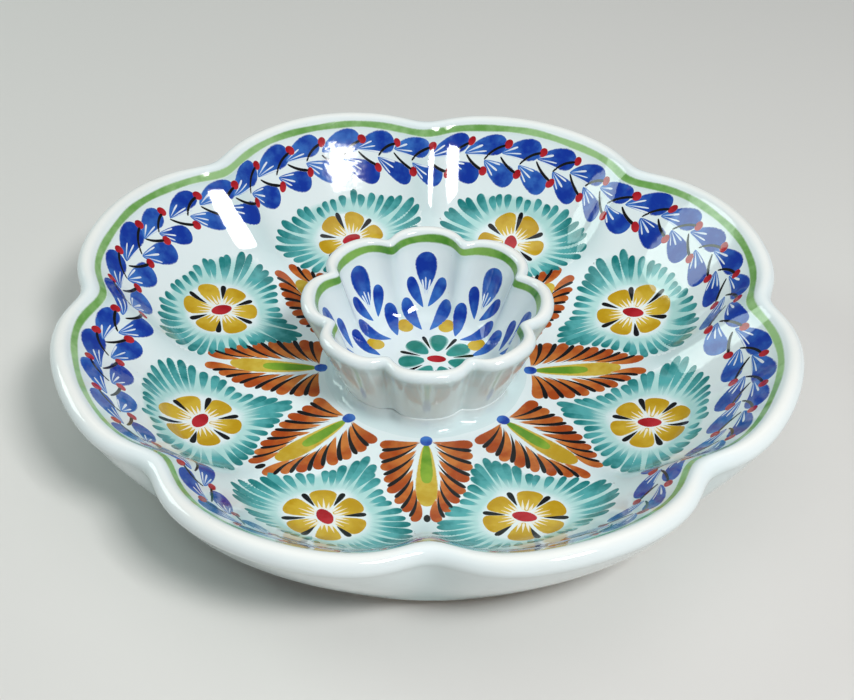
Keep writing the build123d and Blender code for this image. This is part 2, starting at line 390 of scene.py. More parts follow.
# %% White tin glaze
def make_white_glaze():
    """White to aqua by the stored thickness, with a cloudy change and rare iron specks."""
    material, tree, shader, place = start_finish("tin_glaze_white")
    pool = add(tree, "Attribute", {"attribute_name": "pool"}).outputs["Fac"]
    cloud = noise(tree, place, 28.0, 3.0)
    depth = maths(tree, "ADD", maths(tree, "MULTIPLY_ADD", cloud, 0.5, -0.25), pool)
    thick = ranged(tree, depth, 0.0, 1.0, way="SMOOTHSTEP")
    thin = ranged(tree, depth, 0.0, -1.0, way="SMOOTHSTEP")
    colour = mixed(tree, thick, WHITE_GLAZE, THICK_GLAZE)
    colour = mixed(tree, thin, colour, THIN_GLAZE)
    cells = add(tree, "TexVoronoi", inputs={"Vector": place, "Scale": 1 / (SPECK_SPACING * MM)})
    speck = ranged(tree, cells.outputs["Distance"], 0.016, 0.03)
    speck = ranged(tree, speck, 0.0, 1.0, 0.35, 0.0)
    colour = mixed(tree, speck, colour, IRON_SPECK)
    tree.links.new(colour, shader.inputs["Base Color"])
    glaze_gloss(tree, shader, place)
    return material


white_glaze = make_white_glaze()

# %% [markdown]
# ## The glazed platter
#
# The grid has more angles near the notches, where the outline turns quickly. The stored
# thickness is high in the creases that run in from the notches, where wall meets floor and
# just under the lip, and low on the crest of the lip.

# %% Platter
angle = lobed_angles(896, 0.55)
radius, height = platter_profile(angle)
rim = rim_radius(angle)
crest = np.exp(-(((rim - LIP_RADIUS - radius) / 3.2) ** 2)) * (height > lip_height(angle))
under_lip = np.exp(-(((rim - 11.5 - radius) / 2.6) ** 2)) * (height > 40)
knee = np.exp(-(((radius - 112) / 16) ** 2)) * (height > 7.5)
crease = notch(angle) ** 2 * ease((radius - 85) / 30) * (height > 7.5)
outer_low = np.exp(-(((height - 14) / 9) ** 2)) * (radius > BASE_RADIUS - 2)
pool = 0.42 * under_lip + 0.18 * knee + 0.45 * crease + 0.5 * outer_low - 0.8 * crest
grid = turned(radius, height, angle)[None]
top = [0, 0, FLOOR_HEIGHT]
bottom = [0, 0, FLOOR_HEIGHT - FLOOR_THICKNESS]
platter = make_piece(
    "platter_glaze", grid, np.array([[top, bottom]]), {"pool": (pool[None], np.zeros((1, 2)))}
)
platter.data.materials.append(white_glaze)
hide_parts("platter_body")

# %% [markdown]
# ## The foot ring
#
# The ring that the platter stands on is wiped clean before firing, or it would stick to the
# kiln shelf. So its lowest part is bare, warm buff clay, and the glaze ends above it in a wavy
# line. The ring is a small profile carried round a circle. The material decides by height and
# by a slow noise which of the two shows.

# %% Foot ring
outer = BASE_RADIUS - FOOT_INSET
inner = outer - FOOT_WIDTH
ring = [(outer + FOOT_FLARE * 0.8, FOOT_HEIGHT + 0.6)]
ring += [(outer + FOOT_FLARE * 0.5, FOOT_HEIGHT * 0.62), (outer + 0.4, FOOT_ROUNDING * 1.2)]
for turn in np.linspace(0, -90, 5):
    ring += [on_bead(outer, FOOT_ROUNDING, FOOT_ROUNDING, turn)]
for turn in np.linspace(-90, -180, 5):
    ring += [on_bead(inner + 2 * FOOT_ROUNDING, FOOT_ROUNDING, FOOT_ROUNDING, turn)]
ring += [(inner - 0.4, FOOT_ROUNDING * 1.2), (inner - FOOT_FLARE * 0.5, FOOT_HEIGHT * 0.62)]
ring += [(inner - FOOT_FLARE * 0.8, FOOT_HEIGHT + 0.4)]
ring = np.array(ring)
angle = np.linspace(0, 2 * np.pi, 240, endpoint=False)[:, None]
wobble = 0.25 * np.sin(5 * angle + 1) + 0.15 * np.sin(11 * angle)
grid = turned(ring[:, 0] + wobble, ring[:, 1], angle)
foot = make_piece("foot_ring_clay", grid[None])
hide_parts("platter_foot_ring")


def make_bare_clay():
    """Buff earthenware with grog grains; above a wavy line it is covered by white glaze."""
    material, tree, shader, place = start_finish("earthenware_bare_and_glazed")
    grain = noise(tree, place, 1 / (0.9 * MM), 4.0)
    blotch = noise(tree, place, 1 / (14 * MM), 2.0)
    clay = mixed(tree, blotch, linear("#C99E78"), linear("#B27E58"))
    clay = mixed(tree, ranged(tree, grain, 0.35, 0.7), clay, linear("#D9B995"))
    level = add(tree, "SeparateXYZ", inputs={"Vector": place}).outputs["Z"]
    line = maths(tree, "MULTIPLY_ADD", blotch, -3.2 * MM, level)
    glazed = ranged(tree, line, 2.3 * MM, 2.7 * MM)
    colour = mixed(tree, glazed, clay, WHITE_GLAZE)
    tree.links.new(colour, shader.inputs["Base Color"])
    rough = ranged(tree, glazed, 0.0, 1.0, 0.85, GLAZE_ROUGHNESS)
    tree.links.new(rough, shader.inputs["Roughness"])
    bump = add(tree, "Bump", inputs={"Height": grain, "Distance": 0.15 * MM, "Strength": 0.5})
    tree.links.new(bump.outputs[0], shader.inputs["Normal"])
    return material


foot.data.materials.append(make_bare_clay())

# %% [markdown]
# ## The dip bowl
#
# The bowl was pressed in its own mould. Its wall leans out from a small foot to a rounded lip,
# and its inside is one curve from the flat floor up the wall, drawn with four control points.
# Eight lobes show as soft flutes inside. Its lobes face the platter's notches.

# %% Bowl formulas
def bowl_notch(angle):
    """The platter's notch bell, turned by half a lobe."""
    return notch(angle + np.pi / LOBES)


def bowl_radius(angle):
    """Half the width less the notches."""
    return BOWL_WIDTH / 2 - BOWL_NOTCH_DEPTH * bowl_notch(angle)


def bowl_lip(angle, turn):
    """Place on the bowl's rounded lip at this turn up from level and outwards."""
    level = BOWL_LIP_HEIGHT + BOWL_LIP_WAVE * np.cos(LOBES * angle)
    return on_bead(bowl_radius(angle), level, BOWL_LIP_RADIUS, turn)


def bowl_foot(angle):
    """Place where the bowl's outer wall starts, just above its foot."""
    dip = BOWL_NOTCH_DEPTH * bowl_notch(angle) * BOWL_FOOT_LOBING
    return BOWL_FOOT_RADIUS + BOWL_FOOT_ROUNDING - dip, FLOOR_HEIGHT + BOWL_FOOT_ROUNDING


def bowl_inside(angle, share):
    """Cubic curve from the edge of the flat floor (0) to the lip (1), by its four controls."""
    foot_radius, foot_level = bowl_foot(angle)
    top_radius, top_level = bowl_lip(angle, -BOWL_LIP_UNDERTURN)
    end_radius, end_level = bowl_lip(angle, BOWL_LIP_INTURN)
    floor = FLOOR_HEIGHT + BOWL_FLOOR_THICKNESS
    controls = (
        (BOWL_FLOOR_RADIUS, floor),
        (BOWL_FOOT_RADIUS - BOWL_KNEE_INSET, floor),
        (end_radius - (top_radius - foot_radius) / 2, end_level - (top_level - foot_level) / 2),
        (end_radius, end_level),
    )
    rest = 1 - share
    weights = (rest**3, 3 * rest**2 * share, 3 * rest * share**2, share**3)
    radius = sum(weight * point[0] for weight, point in zip(weights, controls))
    return radius, sum(weight * point[1] for weight, point in zip(weights, controls))


# %% Bowl
angle = lobed_angles(640, 0.5)
wide = np.ones(angle.size)
floor_level = FLOOR_HEIGHT + BOWL_FLOOR_THICKNESS
flat = np.linspace(5, BOWL_FLOOR_RADIUS, 5)[:-1, None]
inside = bowl_inside(angle, np.linspace(0, 1, 34)[:, None])
lip = bowl_lip(angle, np.linspace(BOWL_LIP_INTURN, -BOWL_LIP_UNDERTURN, 13)[1:, None])
share = np.linspace(1, 0, 16)[1:, None]
foot_radius, foot_level = bowl_foot(angle)
outside_radius = foot_radius + (lip[0][-1] - foot_radius) * share
outside_level = foot_level + (lip[1][-1] - foot_level) * share
under = np.array([BOWL_FOOT_RADIUS + 0.6, BOWL_FOOT_RADIUS - 1, 20])[:, None]
under_level = FLOOR_HEIGHT + np.array([0.4, 0, 0])[:, None]
flat_level = floor_level + 0 * flat
radius = np.concatenate([flat * wide, inside[0], lip[0], outside_radius, under * wide])
height = np.concatenate([flat_level * wide, inside[1], lip[1], outside_level, under_level * wide])
rim = bowl_radius(angle)
crest = np.exp(-(((rim - BOWL_LIP_RADIUS - radius) / 2.4) ** 2)) * (height > BOWL_LIP_HEIGHT)
under_lip = np.exp(-(((height - BOWL_LIP_HEIGHT + 3) / 2.4) ** 2))
knee = (radius > 24) * (radius < BOWL_FOOT_RADIUS - 3)
knee = knee * np.exp(-(((height - floor_level - 3) / 5) ** 2))
crease = bowl_notch(angle) ** 2 * (radius > 30)
foot_pool = np.exp(-(((height - FLOOR_HEIGHT - 3) / 5) ** 2)) * (radius > BOWL_FOOT_RADIUS)
pool = 0.35 * under_lip + 0.25 * knee + 0.35 * crease + 0.4 * foot_pool - 0.8 * crest
ends = np.array([[[0, 0, floor_level], [0, 0, FLOOR_HEIGHT]]])
grid = turned(radius, height, angle)[None]
bowl = make_piece("dip_bowl_glaze", grid, ends, {"pool": (pool[None], np.zeros((1, 2)))})
bowl.data.materials.append(white_glaze)
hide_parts("dip_bowl")

# %% [markdown]
# ## The cove around the bowl's foot
#
# The bowl was stuck to the platter with slip, which was smoothed into a small cove with a wet
# finger. Its skin leaves the floor level and comes up tangent to the bowl's wall, so light
# rolls round it without an edge. The glaze gathers there.

# %% Cove
angle = lobed_angles(480, 0.4)
foot_radius, foot_level = bowl_foot(angle)
top_radius, top_level = bowl_lip(angle, -BOWL_LIP_UNDERTURN)
climb = COVE_HEIGHT + 1.5
lean = (top_radius - foot_radius) / (top_level - foot_level)
wall_end = (foot_radius + lean * climb + 0.15, foot_level + climb)
wall_mid = (foot_radius + lean * 0.5 + 0.1, foot_level - 0.6)
ends_at = BOWL_FOOT_RADIUS + COVE_WIDTH + 1.5
share = np.linspace(0, 1, 12)[:, None]
curve = [(1 - share) ** 2, 2 * share * (1 - share), share**2]
radius = curve[0] * wall_end[0] + curve[1] * wall_mid[0] + curve[2] * ends_at
height = curve[0] * wall_end[1] + curve[1] * (FLOOR_HEIGHT - 0.1)
height = height + curve[2] * (FLOOR_HEIGHT - 0.05)
height = height + 0 * angle
back = [(ends_at - 1, FLOOR_HEIGHT - 0.6), (BOWL_FOOT_RADIUS - 2, FLOOR_HEIGHT - 0.6)]  # buried
back = np.array(back)[:, :, None] * np.ones(angle.size)
last = np.stack([foot_radius + lean * climb - 2.2, foot_level + climb - 0.2 + 0 * angle])[None]
radius = np.concatenate([radius, back[:, 0], last[:, 0]])
height = np.concatenate([height, back[:, 1], last[:, 1]])
pool = 0.55 * np.sin(np.pi * np.linspace(0, 1, len(radius)))
pool = np.broadcast_to(pool[:, None], radius.shape)
grid = turned(radius, height, angle)[None]
cove = make_piece("luting_cove_glaze", grid, fields={"pool": (pool[None], None)})
cove.data.materials.append(white_glaze)
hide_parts("luting_fillet")

# %% [markdown]
# ## Brush strokes
#
# The whole pattern is hand painted: each leaf or petal is one press and pull of a loaded round
# brush. It could be painted as one big texture, but a stroke has a clean shape of its own, so
# each is a very thin closed skin that follows the clay, a tenth of a millimetre proud.
# A stroke is drawn on flat paper first: a curved middle line with three points and a width
# that grows and rounds off along it. Then the paper is wrapped onto the floor, the wall or the
# bowl. Hundreds of strokes of one colour make one piece.

# %% Stroke shapes
ALONG = 13  # rings along a stroke
AROUND = 12  # points around each ring
STROKE_SINK = 0.03  # mm that a stroke's back lies under its edge
EDGE_SINK = 0.025  # mm that a stroke's edge lies under the glaze


def tear(tail, tip):
    """Half width s**tail * sqrt(1 - s**tip), scaled to 1: thin at the start, round at the end."""
    share = np.linspace(0, 1, 401)
    most = (share**tail * np.sqrt(1 - share**tip)).max()
    return lambda s: s**tail * np.sqrt(np.maximum(1 - s**tip, 0)) / most


def oval(s):
    """Half width of an ellipse along its long axis."""
    return np.sqrt(np.maximum(1 - (2 * s - 1) ** 2, 0))


def paint_ring(count, lift):
    """Round a stroke: where each point lies across it, -1 to 1, and how far it stands out."""
    turn = 2 * np.pi * np.arange(count) / count
    across = np.cos(turn)
    level = np.where(np.sin(turn) > 0, lift + EDGE_SINK, -STROKE_SINK)
    return across, (1 - across**4) * level - EDGE_SINK


def strip_fields(shape, along, across):
    """What the paints read on a closed strip, whose shade changes as `along` does."""
    along, across = np.broadcast_to(along, shape), np.broadcast_to(np.abs(across), shape)
    return {"along": (along, None), "across": (across, None), "shade": (along, None)}


def bend_points(start, end, bow):
    """The middle control point: half way, moved sideways by bow times the length."""
    middle = (start + end) / 2
    side = np.stack([-(end - start)[..., 1], (end - start)[..., 0]], axis=-1)
    return middle + side * np.asarray(bow)[..., None]


def stroke_set(name, start, end, bow, width, shape, lift, sheet, material, along=ALONG):
    """One piece of strokes from start to end on paper, wrapped on by sheet(paper).

    Point = (1-s)^2 start + 2s(1-s) middle + s^2 end, plus half the width times the shape across.
    """
    start, end = np.atleast_2d(start), np.atleast_2d(end)
    count = len(start)
    bow, width = np.broadcast_to(bow, count), np.broadcast_to(width, count)
    middle = bend_points(start, end, bow)
    s = (1 - np.cos(np.pi * np.linspace(0, 1, along + 2))) / 2
    s = s[None, :, None]
    line = (1 - s) ** 2 * start[:, None] + 2 * s * (1 - s) * middle[:, None] + s**2 * end[:, None]
    pull = 2 * (1 - s) * (middle - start)[:, None] + 2 * s * (end - middle)[:, None]
    side = np.stack([-pull[..., 1], pull[..., 0]], axis=-1)
    side = side / np.maximum(np.linalg.norm(side, axis=-1, keepdims=True), 1e-9)
    half = (width / 2)[:, None] * shape(s[..., 0])
    across, raised = paint_ring(AROUND, lift)
    inner = slice(1, -1)
    aside = side[:, inner, None] * half[:, inner, None, None] * across[:, None]
    place, normal = sheet(line[:, inner, None] + aside)
    grid = place + normal * raised[:, None]
    ends, end_normals = sheet(line[:, [0, -1]])
    shade = np.broadcast_to(rng.random(count)[:, None, None], grid.shape[:3])
    fields = {
        "along": (np.broadcast_to(s[:, inner], grid.shape[:3]), np.tile([0.0, 1.0], (count, 1))),
        "across": (np.broadcast_to(np.abs(across), grid.shape[:3]), np.ones((count, 2))),
        "shade": (shade, np.repeat(shade[:, :1, 0], 2, axis=1)),
    }
    piece = make_piece(name, grid, ends, fields, (normal, end_normals))
    piece.data.materials.append(material)
    return piece


def dabs(name, middle, pull, width, lift, sheet, material, along):
    """One piece of oval strokes that reach from their middles this far to both sides."""
    start, end = middle - pull, middle + pull
    return stroke_set(name, start, end, 0.0, width, oval, lift, sheet, material, along)


# %% [markdown]
# ## Three ways to wrap the paper
#
# On the platter's floor the paper lies flat as seen from above, and each point takes the
# floor's height. On its wall the paper is a long strip: one way runs along the rim and the
# other up the slope. In the bowl the paper is a disc whose radius is measured along the
# surface from the middle. The direction in which a stroke stands proud comes from two
# neighbouring points.

# %% Wrapping
STEP = 0.05  # mm between the neighbouring points
RIM_INSET = 19.6  # mm in from the rim's edge to the line that the garland follows
UP_SLOPE = np.cos(np.radians(WALL_SLOPE))


def wrapped(place_at):
    """Turn place_at(x, y) into sheet(paper), which returns places and upward unit normals."""

    def sheet(paper):
        x, y = paper[..., 0], paper[..., 1]
        place = place_at(x, y)
        one, other = place_at(x + STEP, y) - place, place_at(x, y + STEP) - place
        normal = np.cross(one, other)
        normal /= np.linalg.norm(normal, axis=-1, keepdims=True)
        return place, normal * np.sign(normal[..., 2:])

    return sheet


def on_floor(x, y):
    """The point of the platter's inside above or below (x, y)."""
    radius, angle = np.hypot(x, y), np.arctan2(x, -y)
    return np.stack([x, y, inside_height(radius, angle)], axis=-1)


round_angles = np.linspace(0, 2 * np.pi, 7201)
round_line = turned(rim_radius(round_angles) - RIM_INSET, 0.0, round_angles)
round_length = lengths_along(round_line)
GARLAND_LENGTH = round_length[-1]
print("the garland's line is", round(GARLAND_LENGTH), "mm long")


def on_wall(x, y):
    """The point x along the garland's line and y up the slope of the wall."""
    angle = np.interp(x % GARLAND_LENGTH, round_length, round_angles)
    radius = rim_radius(angle) - RIM_INSET + y * UP_SLOPE
    return turned(radius, inside_height(radius, angle), angle)


def in_bowl(x, y):
    """The point at hypot(x, y) along the bowl's inside from the middle, at the angle of (x, y).

    The curve's length is taken on an average lobe, so a share of it means the same all round.
    Past the curve's end the point goes on round the lip's circle.
    """
    reach, angle = np.hypot(x, y), np.arctan2(x, -y)
    share = np.interp(reach, bowl_reach, bowl_share)
    radius, level = bowl_inside(angle, share)
    past = np.maximum(reach - bowl_reach[-1], 0)
    on_lip = bowl_lip(angle, BOWL_LIP_INTURN - np.degrees(past / BOWL_LIP_RADIUS))
    radius, level = np.where(past > 0, on_lip[0], radius), np.where(past > 0, on_lip[1], level)
    flat = reach < BOWL_FLOOR_RADIUS
    return turned(np.where(flat, reach, radius), np.where(flat, floor_level, level), angle)


bowl_share = np.linspace(0, 1, 201)
bowl_line = np.stack(bowl_inside(np.pi / 16, bowl_share), axis=-1)
bowl_reach = BOWL_FLOOR_RADIUS + lengths_along(bowl_line)
print("from the bowl's middle to its lip it is", round(bowl_reach[-1], 1), "mm along the surface")
floor_sheet, wall_sheet, bowl_sheet = wrapped(on_floor), wrapped(on_wall), wrapped(in_bowl)

# %% [markdown]
# ## Paint under the glaze
#
# The colours are metal oxides in water: cobalt for blue, copper for green and teal, iron for
# the rust and ochre. The brush drops more of it where it rests, so a stroke is darker near
# its end and pale where it was drawn thin, and in the kiln its edge melts into the white. So
# the finish mixes a deep and a pale colour by a noise and by the place along the stroke, and
# lets the outermost part fade to the white of the glaze. The gloss over it is the same glass.

# %% Paint finishes
def make_paint(name, deep, pale, soft=0.3, washed=0.5, drawn=0.0, edge=WHITE_GLAZE, deep_at=0.8):
    """A paint: deep to pale by noise, `washed` strong, and by distance along from deep_at.

    `soft` is the share of the half width that fades to the edge colour; `drawn` pales the start.
    """
    material, tree, shader, place = start_finish(name)
    along, across, shade = (
        add(tree, "Attribute", {"attribute_name": field}).outputs["Fac"]
        for field in ("along", "across", "shade")
    )
    wash = noise(tree, place, 1 / (5 * MM), 3.0)
    bristle = noise(tree, place, 1 / (1.1 * MM), 2.0)
    away = maths(tree, "ABSOLUTE", maths(tree, "SUBTRACT", along, deep_at))
    amount = maths(tree, "MULTIPLY_ADD", away, 0.9, wash)
    amount = maths(tree, "MULTIPLY_ADD", shade, 0.35, amount)
    amount = ranged(tree, amount, 0.55, 1.35, 0.0, washed * 2, "SMOOTHSTEP")
    colour = mixed(tree, amount, linear(deep), linear(pale))
    ragged = maths(tree, "MULTIPLY_ADD", bristle, 0.16, across)
    fade = ranged(tree, ragged, 1.08 - soft, 1.08, way="SMOOTHSTEP")
    if drawn > 0:
        begin = ranged(tree, along, 0.0, drawn, 0.85, 0.0, "SMOOTHSTEP")
        fade = maths(tree, "MAXIMUM", fade, begin)
    colour = mixed(tree, fade, colour, edge)
    tree.links.new(colour, shader.inputs["Base Color"])
    glaze_gloss(tree, shader, place)
    return material


PALE_AQUA = linear("#BBDDDA")
cobalt = make_paint("paint_cobalt_blue", "#06329B", "#3F7CCB", soft=0.16, washed=0.42, deep_at=0.7)
leaf_gap = make_paint(
    "glaze_between_leaf_tails", "#E6ECF2", "#C9D9EE", soft=0.35, edge=linear("#8FB0DC")
)
stem_black = make_paint("paint_manganese_black", "#050608", "#14171A", soft=0.22, washed=0.3)
berry_red = make_paint("paint_red", "#A00A18", "#BC2832", soft=0.2, washed=0.4)
ochre = make_paint("paint_iron_ochre", "#BB930A", "#D2B136", soft=0.14, deep_at=0.9)
petal_gap = make_paint(
    "glaze_between_petal_tails", "#EFEDE2", "#EBE3C4", soft=0.4, edge=linear("#E6CF86")
)
teal = make_paint(
    "paint_copper_teal", "#0E7575", "#5CB1B2", 0.3, 0.42, drawn=0.4, edge=PALE_AQUA, deep_at=1.0
)
teal_full = make_paint(
    "paint_copper_teal_full", "#1B7A6F", "#3E9A92", 0.35, 0.4, edge=PALE_AQUA, deep_at=0.6
)
aqua = make_paint("paint_aqua_wash", "#A6D5D1", "#B9DEDA", soft=0.6)
green = make_paint("paint_copper_green", "#4F8F2F", "#86B557", soft=0.4, deep_at=0.5)
pale_green = make_paint("paint_pale_green", "#6AA04E", "#9CC487", soft=0.45, deep_at=0.5)
rust = make_paint("paint_iron_rust", "#A6440B", "#CB7A34", soft=0.16, drawn=0.12)
olive = make_paint("paint_olive_yellow", "#BE9A22", "#D3BC4E", soft=0.16)

# %% [markdown]
# ## Green bands
#
# The potter held a brush just inside the lip and turned the dish once. The band follows
# every notch. The real band is darker and a little wider in the notches, where the brush slowed
# down. The platter's strip below is only wider there, and the shade of each strip rises and
# falls five times round.
# It is a closed strip on the wall's paper: one way runs round and the other across.

# %% Bands
BAND_INSET = 10.2  # mm from the rim's edge to the middle of the band


def band(name, sheet_line, width, lift, sheet, material, count):
    """Closed strip: sheet_line(share) gives paper points, width(share) the full width."""
    share = np.linspace(0, 1, count, endpoint=False)
    line, side = sheet_line(share)
    across, raised = paint_ring(AROUND, lift)
    half = width(share)[:, None, None] / 2
    place, normal = sheet(line[:, None] + side[:, None] * half * across[:, None])
    grid = (place + normal * raised[:, None])[None]
    slow = 0.5 + 0.5 * np.sin(2 * np.pi * 5 * share + 1)
    fields = strip_fields(grid.shape[:3], slow[:, None], across)
    piece = make_piece(name, grid, None, fields, (normal[None], None))
    piece.data.materials.append(material)
    return piece


def platter_band_line(share):
    """Along the rim, BAND_INSET in from its edge, just below the lip."""
    x = share * GARLAND_LENGTH
    y = (RIM_INSET - BAND_INSET) / UP_SLOPE + 0.25 * np.sin(share * 2 * np.pi * 21)
    return np.stack([x, y], axis=-1), np.stack([0 * x, 1 + 0 * x], axis=-1)


def platter_band_width(share):
    """4.7 mm, and up to 1.2 mm more in the notches, with a small waver."""
    at = np.interp(share * GARLAND_LENGTH, round_length, round_angles)
    return 4.7 + 1.2 * notch(at) + 0.35 * np.sin(share * 2 * np.pi * 37)


band("green_band_platter", platter_band_line, platter_band_width, 0.1, wall_sheet, pale_green, 1440)


def bowl_band_line(share):
    """Round the bowl at a constant distance under its lip."""
    turn = share * 2 * np.pi
    out, _ = compass(turn)
    reach = bowl_reach[-1] - 2.1 + 0.3 * np.sin(9 * turn)
    return out * reach[:, None], out


def bowl_band_width(share):
    """4.9 mm with a small waver."""
    return 4.9 + 0.5 * np.sin(share * 2 * np.pi * 13)


band("green_band_bowl", bowl_band_line, bowl_band_width, 0.1, bowl_sheet, green, 960)

# %% [markdown]
# ## The garland on the wall
#
# A wreath of cobalt leaves runs clockwise round the wall. Along its middle line the leaves
# stand in pairs, one up and one down the slope. Each was one press of a full brush, whose
# tails leave three white gaps near the stalk. A black stem curves beside every leaf and ends
# in a red berry.

# %% Garland
UNITS = 47
unit_x = GARLAND_LENGTH * (np.arange(UNITS) + 0.31) / UNITS + rng.normal(0, 0.5, UNITS)
unit_size = 1 + rng.normal(0, 0.045, UNITS)
unit_b = rng.normal(0, 0.35, UNITS)


def beside(units, forward, up, jitter=0.35):
    """Paper points this far forward and up from each unit; forward is against x."""
    x = unit_x[units] - forward * unit_size[units] + rng.normal(0, jitter, len(units))
    y = unit_b[units] + up * unit_size[units] + rng.normal(0, jitter, len(units))
    return np.stack([x, y], axis=-1)


units = np.arange(UNITS)
sizes = unit_size[units]
leaf = tear(0.68, 4.2)
outer_start, outer_end = beside(units, -0.4, -0.2), beside(units, 20.4, 5.4)
inner_start, inner_end = beside(units, 10.2, -4.8), beside(units, 28.4, -14.2)
for name, first, last, bow, wide in (
    ("garland_leaves_upper", outer_start, outer_end, -0.1, 13.4),
    ("garland_leaves_lower", inner_start, inner_end, 0.1, 13.2),
):
    width = wide * sizes * (1 + rng.normal(0, 0.05, UNITS))
    stroke_set(name, first, last, bow, width, leaf, 0.1, wall_sheet, cobalt, 15)

# %% Gaps between the brush tails
def tails(first, last, spread, bow):
    """White wedges from each leaf's stalk: start, end, bow, width, fanned about the leaf."""
    pull = last - first
    side = np.stack([-pull[:, 1], pull[:, 0]], axis=-1)
    starts, ends, widths = [], [], []
    for fan, reach, wide in spread:
        starts.append(first + pull * 0.03 + side * fan * 0.12)
        wander = rng.normal(0, 0.015, (len(first), 1))
        ends.append(first + pull * (reach + wander) + side * (fan + wander))
        widths.append(np.full(len(first), wide) * (1 + rng.normal(0, 0.12, len(first))))
    return np.concatenate(starts), np.concatenate(ends), bow, np.concatenate(widths)


wedge = tear(0.9, 7.0)
UPPER_GAPS = ((-0.1, 0.44, 1.6), (0.08, 0.52, 1.2), (0.24, 0.6, 1.1))  # aside, reach, width
LOWER_GAPS = ((-0.13, 0.45, 1.2), (0.06, 0.5, 1.5), (0.22, 0.45, 1.1))
for name, first, last, spread in (
    ("leaf_gaps_upper", outer_start, outer_end, UPPER_GAPS),
    ("leaf_gaps_lower", inner_start, inner_end, LOWER_GAPS),
):
    start, end, bow, width = tails(first, last, spread, 0.0)
    stroke_set(name, start, end, bow, width, wedge, 0.15, wall_sheet, leaf_gap, 9)

# %% Stems and berries
stem = tear(0.25, 14.0)
start, end = beside(units, 10.4, -4.2), beside(units, 21.2, 4.4)
stroke_set("garland_stems_upper", start, end, -0.2, 1.95, stem, 0.19, wall_sheet, stem_black, 11)
upper_stem_end = end
start, end = beside(units, -0.6, -1.6), beside(units, 10.0, -9.8)
stroke_set("garland_stems_lower", start, end, 0.16, 1.95, stem, 0.19, wall_sheet, stem_black, 11)
upper_berry = upper_stem_end + rng.normal(0, 0.25, end.shape) + [-0.5, 0.6]
lower_berry = end + rng.normal(0, 0.25, end.shape) + [-0.6, -0.6]
middle = np.concatenate([upper_berry, lower_berry])
lean = np.stack([rng.normal(0, 0.8, len(middle)), np.full(len(middle), 2.7)], axis=-1)
width = 5.0 + rng.normal(0, 0.3, len(middle))
dabs("garland_berries", middle, lean, width, 0.23, wall_sheet, berry_red, 9)

# %% [markdown]
# ## Flowers with their teal fans
#
# In each lobe a six-petalled ochre flower with a red middle lies on the floor, in a fan of
# soft teal strokes. The fan has three corners: two towards the rim and one that points at the
# bowl. The strokes are laid out in the flower's own frame, with one axis away from the dish's
# middle, and turned to their eight places. They stand evenly along the fan's outline.

# %% Flower frames
FLOWER_REACH = 110.3
flower_angle = np.radians(22.5 + 45 * np.arange(LOBES))
flower_spin = np.pi / 6 + rng.normal(0, 0.09, LOBES)
FLOWER_SIDE = np.array([-0.7, 0.5, -3.3, -4.4, -2.2, 3.8, 1.8, -0.4])  # mm off the lobe's middle
FLOWER_OUT = np.array([-1.8, -0.7, 1.0, -1.1, -1.8, -1.8, 0.7, 0.2])  # mm further out


def from_flower(lobe, turn, reach):
    """Paper points at this turn from the outward direction and this far from the flower."""
    out, side = compass(flower_angle[lobe])
    centre = out * (FLOWER_REACH + FLOWER_OUT[lobe])[..., None]
    centre = centre + side * FLOWER_SIDE[lobe][..., None]
    turn, reach = np.asarray(turn)[..., None], np.asarray(reach)[..., None]
    return centre + reach * (np.cos(turn) * out + np.sin(turn) * side)


FAN_OUTLINE = (  # degrees from the outward direction, reach in mm
    (0, 23.4),
    (20, 24.2),
    (38, 27.6),
    (52, 31.6),
    (65, 35.5),
    (78, 40.4),
    (86, 41.6),
    (95, 39),
    (107, 35.2),
    (120, 32.4),
    (132, 29.6),
    (145, 28.6),
    (156, 30.5),
    (166, 35),
    (174, 40.5),
    (180, 44.5),
)
fan_turns, fan_reaches = np.array(FAN_OUTLINE).T


def fan_reach(turn):
    """The fan's outline: its reach at a turn, from the table of its sixteen turns."""
    turn = np.abs((turn + np.pi) % (2 * np.pi) - np.pi)
    return np.interp(turn, np.radians(fan_turns), fan_reaches)


FAN_STROKES = 41
walk = np.linspace(0, 2 * np.pi, 3601)
outline = np.stack([fan_reach(walk) * np.cos(walk), fan_reach(walk) * np.sin(walk)], axis=-1)
walked = lengths_along(outline)
fan_step = walked[-1] / FAN_STROKES
print("fan outline", round(walked[-1]), "mm, a stroke every", round(fan_step, 1), "mm")

# %% Teal fans
lobe = np.repeat(np.arange(LOBES), FAN_STROKES)
count = lobe.size
start_at = rng.uniform(0, fan_step, LOBES)[lobe]
mark = np.tile(np.arange(FAN_STROKES), LOBES) * fan_step + start_at + rng.normal(0, 0.6, count)
turn = np.interp(mark % walked[-1], walked, walk)
reach = fan_reach(turn) + rng.normal(0, 0.9, count)
base = np.minimum(20.0, 0.8 * reach - 1.4) + rng.normal(0, 0.4, count)
start = from_flower(lobe, turn + rng.normal(0, 0.02, count), base)
end = from_flower(lobe, turn, reach)
wide = fan_step * (0.82 + 0.1 * ease((reach - 30) / 12)) + rng.normal(0, 0.4, count)
bow = rng.normal(0, 0.035, count)
stroke_set("fan_strokes", start, end, bow, wide, tear(0.8, 5.0), 0.11, floor_sheet, teal, 17)

